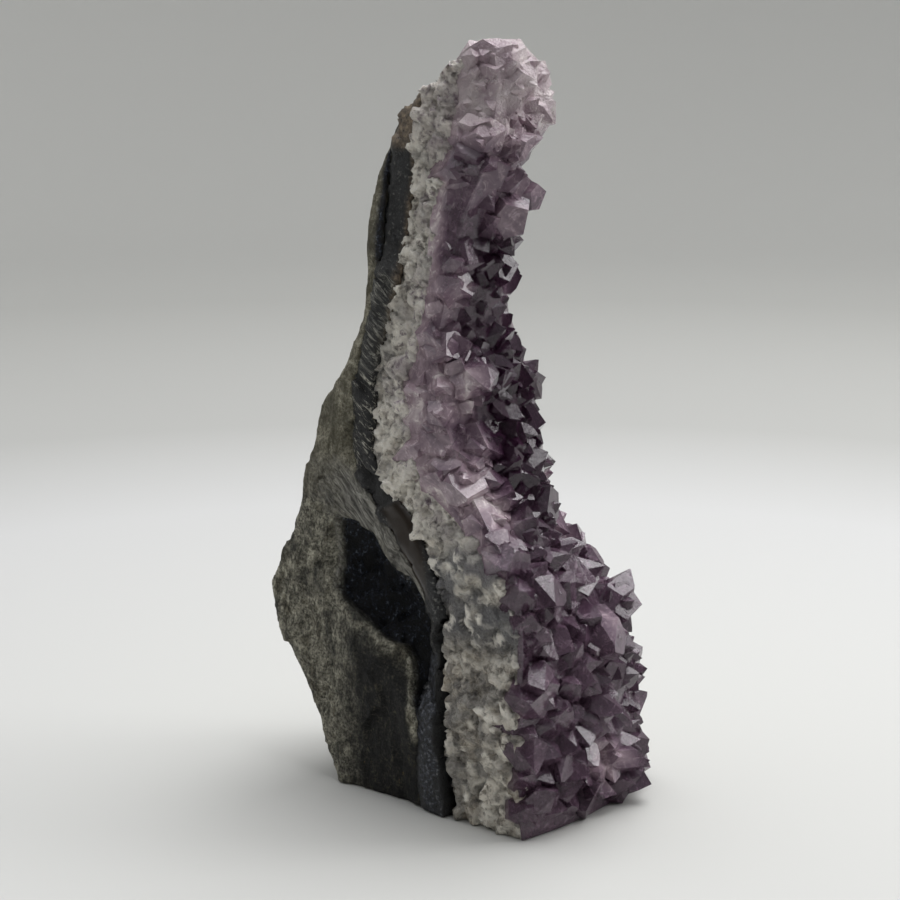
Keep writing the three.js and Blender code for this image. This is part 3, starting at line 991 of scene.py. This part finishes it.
def crystal_mesh(name, roll):
    """One quartz crystal of unit radius with its tip up: a six-sided prism under three large and
    three small sloping faces."""
    chance = np.random.default_rng(roll)
    planes = [((0.0, 0.0, -1.0), ROOT)]
    for side in range(6):
        turn = side * math.pi / 3
        wide = chance.uniform(0.74, 1.0)
        planes.append(((math.cos(turn), math.sin(turn), 0.0), wide * math.cos(math.pi / 6)))
        back = chance.uniform(0.04, 0.34) if side % 2 else chance.uniform(0.0, 0.05)
        out, up = math.sin(TIP_SLOPE), math.cos(TIP_SLOPE)
        planes.append(((math.cos(turn) * out, math.sin(turn) * out, up), TIP_REACH + back))
    block = bmesh.new()
    bmesh.ops.create_cube(block, size=8.0)
    for way, reach in planes:
        cut = bmesh.ops.bisect_plane(
            block,
            geom=block.verts[:] + block.edges[:] + block.faces[:],
            plane_co=Vector(way) * reach,
            plane_no=Vector(way),
            clear_outer=True,
        )
        rim = [e for e in cut["geom_cut"] if isinstance(e, bmesh.types.BMEdge)]
        bmesh.ops.contextual_create(block, geom=rim)
    bmesh.ops.remove_doubles(block, verts=block.verts, dist=1e-4)
    bmesh.ops.recalc_face_normals(block, faces=block.faces)
    mesh = bpy.data.meshes.new(name)
    block.to_mesh(mesh)
    block.free()
    return mesh


def growth_tree(material):
    """Geometry Nodes that stand crystals on a growth surface and join them to the druse."""
    tree = bpy.data.node_groups.new("crystal growth", "GeometryNodeTree")
    face = tree.interface
    face.new_socket("Geometry", in_out="INPUT", socket_type="NodeSocketGeometry")
    face.new_socket("Geometry", in_out="OUTPUT", socket_type="NodeSocketGeometry")
    for name, kind in (
        ("Growth Surface", "NodeSocketObject"),
        *(("Crystal " + letter, "NodeSocketObject") for letter in "ABCD"),
        ("Spacing", "NodeSocketFloat"),
        ("Radius", "NodeSocketFloat"),
        ("Seed", "NodeSocketInt"),
    ):
        face.new_socket(name, in_out="INPUT", socket_type=kind)
    given = tree.nodes.new("NodeGroupInput").outputs
    surface = add(
        tree, "GeometryNodeObjectInfo", {"Object": given["Growth Surface"]}, "Geometry"
    )
    thick = add(tree, "GeometryNodeInputNamedAttribute", {"Name": "growth"}, data_type="FLOAT")
    large = add(tree, "GeometryNodeInputNamedAttribute", {"Name": "large"}, data_type="FLOAT")
    way = add(tree, "GeometryNodeInputNamedAttribute", {"Name": "way"}, data_type="FLOAT_VECTOR")
    roots = add(
        tree,
        "GeometryNodeDistributePointsOnFaces",
        {
            "Mesh": surface,
            "Distance Min": given["Spacing"],
            "Density Max": 400000.0,
            "Density Factor": thick,
            "Seed": given["Seed"],
        },
        distribute_method="POISSON",
    )
    kinds = tree.nodes.new("GeometryNodeGeometryToInstance")
    for letter in "ABCD":
        one = add(tree, "GeometryNodeObjectInfo", {"Object": given["Crystal " + letter]}, "Geometry")
        tree.links.new(one, kinds.inputs[0])
    upright = add(tree, "FunctionNodeAlignRotationToVector", {"Vector": way}, axis="Z")
    lean = add(
        tree,
        "FunctionNodeRandomValue",
        {"Min": (-0.45, -0.45, -3.1), "Max": (0.45, 0.45, 3.1), "Seed": 3},
        data_type="FLOAT_VECTOR",
    )
    turned = add(
        tree,
        "FunctionNodeRotateRotation",
        {"Rotation": upright, "Rotate By": lean},
        rotation_space="LOCAL",
    )
    size = add(tree, "FunctionNodeRandomValue", {2: 0.55, 3: 1.3, "Seed": 5}, 1, data_type="FLOAT")
    grown = add(tree, "ShaderNodeMath", {0: size, 1: large}, operation="MULTIPLY")
    radius = add(tree, "ShaderNodeMath", {0: grown, 1: given["Radius"]}, operation="MULTIPLY")
    stretch = add(
        tree,
        "FunctionNodeRandomValue",
        {"Min": (0.8, 0.8, 0.9), "Max": (1.2, 1.2, 1.4), "Seed": 6},
        data_type="FLOAT_VECTOR",
    )
    scale = add(tree, "ShaderNodeVectorMath", {0: stretch, "Scale": radius}, operation="SCALE")
    pick = add(tree, "FunctionNodeRandomValue", {4: 0, 5: 3, "Seed": 9}, 2, data_type="INT")
    standing = add(
        tree,
        "GeometryNodeInstanceOnPoints",
        {
            "Points": roots,
            "Instance": kinds.outputs[0],
            "Pick Instance": True,
            "Instance Index": pick,
            "Rotation": turned,
            "Scale": scale,
        },
    )
    union = tree.nodes.new("GeometryNodeMeshBoolean")
    union.solver = "MANIFOLD"
    union.operation = "UNION"
    tree.links.new(given["Geometry"], union.inputs["Mesh 2"])
    tree.links.new(standing, union.inputs["Mesh 2"])
    real = add(tree, "GeometryNodeRealizeInstances", {"Geometry": union.outputs[0]})
    painted = add(tree, "GeometryNodeSetMaterial", {"Geometry": real, "Material": material})
    add(tree, "NodeGroupOutput", {"Geometry": painted})
    return tree


def growth_surface(plan):
    """The druse's smoothed skin for one use. plan(points, normals) gives how thickly crystals
    stand on it, the way they point, how large they are and how deep their roots are sunk."""
    skin = fine_copy("amethyst_druse", "growth surface", 1.6 * MM, relax=14)
    mesh = skin.data
    points, normals = skin_of(mesh)
    growth, way, large, sunk = plan(points, normals)
    paint(mesh, {"growth": growth, "large": large})
    kept = mesh.attributes.new("way", "FLOAT_VECTOR", "POINT")
    kept.data.foreach_set("vector", way.astype(np.float32).ravel())
    mesh.vertices.foreach_set("co", ((points - normals * sunk[:, None]) * MM).ravel())
    mesh.update()
    return skin


def grow(druse, skin, tree, kinds, spacing, radius, seed):
    """Runs the growth tree on the druse once."""
    added = druse.modifiers.new("crystals", "NODES")
    added.node_group = tree
    values = {"Growth Surface": skin, "Spacing": spacing, "Radius": radius, "Seed": seed}
    values.update(("Crystal " + letter, kind) for letter, kind in zip("ABCD", kinds))
    for item in tree.interface.items_tree:
        if item.in_out == "INPUT" and item.name in values:
            added[item.identifier] = values[item.name]
    plain_mesh(druse)


class GEODE_OT_amethyst(bpy.types.Operator):
    """Grow the field crystals between the large ones, and join them into one druse"""

    bl_idname = "geode.amethyst"
    bl_label = "Amethyst"

    def execute(self, context):
        settings = context.scene.geode_amethyst
        material = clear_amethyst(settings)
        druse = closed_copy("amethyst_druse", "amethyst")
        kinds = [
            link_mesh("crystal " + letter, crystal_mesh("crystal " + letter, roll))
            for letter, roll in zip("ABCD", (11, 12, 13, 14))
        ]

        def stand(points, normals, low, high):
            z = points[:, 2]
            front = ease(-normals[:, 1], 0.05, 0.3)
            left = ease(-normals[:, 0], 0.45, 0.8)
            bare = ease(z, 146, 152) * ease(-z, -172, -168)
            within = (z > low) & (z < high)
            grows = np.maximum(front * (1 - 0.8 * bare), left * (1 - 0.5 * bare)) * within
            outwards = normals * 0.9 + np.array([0.0, -0.35, 0.05])
            forwards = np.array([-0.7, -0.7, 0.2]) + 0.0 * normals
            on_left = left > front
            way = np.where(on_left[:, None], forwards, outwards)
            return grows, way, 1 + 0.35 * on_left, 1.2 + 0.9 * on_left

        def foot(points, normals):
            return stand(points, normals, *FOOT)

        def field(points, normals):
            return stand(points, normals, *FIELD)

        def crest(points, normals):
            z = points[:, 2]
            grows = ease(z, 160, 172) * (normals[:, 1] < 0.7)
            way = normals + 0.8 * np.stack([noise(points, 4, 81 + k) for k in range(3)], axis=-1)
            return grows, way, 0.7 + 0.35 * ease(-points[:, 0], 4, 12), np.ones(len(points))

        tree = growth_tree(material)
        skins = [growth_surface(foot), growth_surface(field), growth_surface(crest)]
        large, small = settings.crystal * 1.35, settings.crystal * 0.55
        grow(druse, skins[0], tree, kinds, settings.spacing * 1.35, large, settings.seed)
        grow(druse, skins[1], tree, kinds, settings.spacing, settings.crystal, settings.seed + 1)
        grow(druse, skins[2], tree, kinds, settings.spacing * 0.55, small, settings.seed + 2)
        for helper in [*skins, *kinds]:
            bpy.data.objects.remove(helper)
        self.saw(druse)
        if not druse.data.polygons:
            raise RuntimeError("the druse came out empty")
        carve(druse, self.cloud)
        settle(druse, material, "amethyst", "amethyst_druse")
        return {"FINISHED"}

    def cloud(self, points, normals):
        """Where the amethyst is milky, and where it is painted darkest as painted shade."""
        x, z = points[:, 0], points[:, 2]
        near = distance_to("quartz_band", points)
        label = grains(points, 8, 91)[2]
        crest = ease(z, 146, 158) * 0.5 + ease(z, 165, 180) * 0.5
        left = ease(-x, 14, 20) * ease(z, 66, 84) * ease(-z, -160, -130)
        border = ease(-near, -8, -1) * ease(z, 60, 78)
        foot = 0.22 * ease(-z, -86, -66)
        milk = np.maximum.reduce([crest, left * 0.8, border * 1.3, foot])
        milk = np.maximum(milk * (0.45 + 0.9 * label), ease(z, 168, 178) * 0.85)
        frost = ease(z, 164, 180) * (0.8 + 0.25 * noise(points, 4, 92, 2))
        for place, size in PALE_CRYSTALS:
            reach = np.linalg.norm(points - np.array(place), axis=-1)
            milk = np.maximum(milk, 0.75 * ease(-reach, -size, -0.6 * size))
        # Painted shade: darkest across the middle of the wall, where it curves in, away from the broken
        # end and the quartz.
        dark = ease(z, 74, 90) * ease(-z, -150, -140) * ease(x, -22, -10) * (1 - border)
        return 0.0 * points, {"milk": milk * (1 - 0.6 * dark), "frost": frost, "dark": 0.7 * dark}

    def saw(self, druse):
        """Cuts off what grew below the sawn base."""
        block = bmesh.new()
        block.from_mesh(druse.data)
        cut = bmesh.ops.bisect_plane(
            block,
            geom=block.verts[:] + block.edges[:] + block.faces[:],
            plane_co=(0, 0, SAW_CUT),
            plane_no=(0, 0, -1),
            clear_outer=True,
        )
        rim = [e for e in cut["geom_cut"] if isinstance(e, bmesh.types.BMEdge)]
        bmesh.ops.holes_fill(block, edges=rim)
        block.to_mesh(druse.data)
        block.free()


def area_light(name, place, target, size, power):
    """A rectangular soft light that looks at a point."""
    light = bpy.data.lights.new(name, "AREA")
    light.shape = "RECTANGLE"
    light.size, light.size_y = size
    light.energy = power
    made = bpy.data.objects.new(name, light)
    made.location = place
    made.rotation_euler = (Vector(target) - Vector(place)).to_track_quat("-Z", "Y").to_euler()
    bpy.context.scene.collection.objects.link(made)


class GEODE_OT_stage(bpy.types.Operator):
    """Set the floor, the soft lights and the camera"""

    bl_idname = "geode.stage"
    bl_label = "Stage"

    def execute(self, context):
        settings = context.scene.geode_stage
        scene = context.scene
        rings = [(0.0, 0.0), (0.4 * settings.floor_size, 0.0)]
        for step in range(SWEEP_STEPS + 1):
            bend = math.radians(90 / SWEEP_STEPS * step)
            out = settings.floor_size + settings.sweep * math.sin(bend)
            rings.append((out, settings.sweep * (1 - math.cos(bend))))
        rings.append((settings.floor_size + settings.sweep, settings.wall))
        block = bmesh.new()
        previous = None
        for radius, height in rings:
            ring = [
                block.verts.new(
                    (radius * math.cos(turn), radius * math.sin(turn), height - settings.drop)
                )
                for turn in (math.tau * k / FLOOR_SIDES for k in range(FLOOR_SIDES if radius else 1))
            ]
            for k in range(FLOOR_SIDES) if previous else ():
                here, ahead = ring[k], ring[(k + 1) % FLOOR_SIDES]
                back = previous[k % len(previous)], previous[(k + 1) % len(previous)]
                corners = dict.fromkeys([*back, ahead, here])
                block.faces.new(corners).smooth = True
            previous = ring
        bmesh.ops.recalc_face_normals(block, faces=block.faces)
        mesh = bpy.data.meshes.new("floor")
        block.to_mesh(mesh)
        block.free()
        mesh.materials.append(studio_paper())
        link_mesh("floor", mesh)

        world = bpy.data.worlds.new("studio")
        scene.world = world
        world.use_nodes = True
        tree = world.node_tree
        tree.nodes.clear()
        way = add(tree, "ShaderNodeTexCoord", out="Generated")
        front = add(
            tree, "ShaderNodeVectorMath", {0: way, 1: FRONT}, "Value", operation="DOT_PRODUCT"
        )
        glow = add(
            tree,
            "ShaderNodeMapRange",
            {
                "Value": front,
                "From Min": 0.0,
                "From Max": 0.6,
                "To Min": settings.sky,
                "To Max": settings.sky * 0.3,
            },
        )
        sky = add(tree, "ShaderNodeBackground", {"Color": "#e6e7ea", "Strength": glow})
        add(tree, "ShaderNodeOutputWorld", {"Surface": sky})

        middle = (0.0, 0.0, 0.1)
        area_light("overhead", (0.34, -0.05, 1.1), middle, (1.0, 1.0), settings.overhead)
        area_light("right window", (0.7, -0.75, 0.5), middle, (0.35, 0.5), settings.window)

        camera = bpy.data.cameras.new("camera")
        camera.lens = settings.lens
        camera.sensor_width = 36.0
        camera.clip_start = 0.01
        camera.clip_end = 20.0
        eye = bpy.data.objects.new("camera", camera)
        level = math.cos(CAMERA_RISE)
        back = (math.sin(CAMERA_TURN) * level, -math.cos(CAMERA_TURN) * level, math.sin(CAMERA_RISE))
        eye.location = CAMERA_AIM + Vector(back) * CAMERA_REACH
        look = CAMERA_LOOK - eye.location
        eye.rotation_euler = look.to_track_quat("-Z", "Y").to_euler()
        scene.collection.objects.link(eye)
        scene.camera = eye
        scene.view_settings.view_transform = "Standard"
        return {"FINISHED"}


class GEODE_PT_panel(bpy.types.Panel):
    """The specimen's steps and settings"""

    bl_label = "Geode"
    bl_idname = "GEODE_PT_panel"
    bl_space_type = "VIEW_3D"
    bl_region_type = "UI"
    bl_category = "Geode"

    def draw(self, context):
        for step, group in STEPS:
            box = self.layout.box()
            box.operator(step.bl_idname)
            settings = getattr(context.scene, group)
            for name in settings.__annotations__:
                box.prop(settings, name)


STEPS = (
    (GEODE_OT_basalt, "geode_basalt"),
    (GEODE_OT_rind, "geode_rind"),
    (GEODE_OT_quartz, "geode_quartz"),
    (GEODE_OT_amethyst, "geode_amethyst"),
    (GEODE_OT_stage, "geode_stage"),
)
GROUPS = {
    "geode_basalt": BasaltSettings,
    "geode_rind": RindSettings,
    "geode_quartz": QuartzSettings,
    "geode_amethyst": AmethystSettings,
    "geode_stage": StageSettings,
}
CLASSES = (*GROUPS.values(), *(step for step, _ in STEPS), GEODE_PT_panel)


def register():
    for made in CLASSES:
        bpy.utils.register_class(made)
    for name, group in GROUPS.items():
        setattr(bpy.types.Scene, name, PointerProperty(type=group))


def unregister():
    for name in GROUPS:
        delattr(bpy.types.Scene, name)
    for made in reversed(CLASSES):
        bpy.utils.unregister_class(made)


def main():
    register()
    bpy.ops.geode.basalt()
    bpy.ops.geode.rind()
    bpy.ops.geode.quartz()
    bpy.ops.geode.amethyst()
    bpy.ops.geode.stage()


if __name__ == "__main__":
    main()
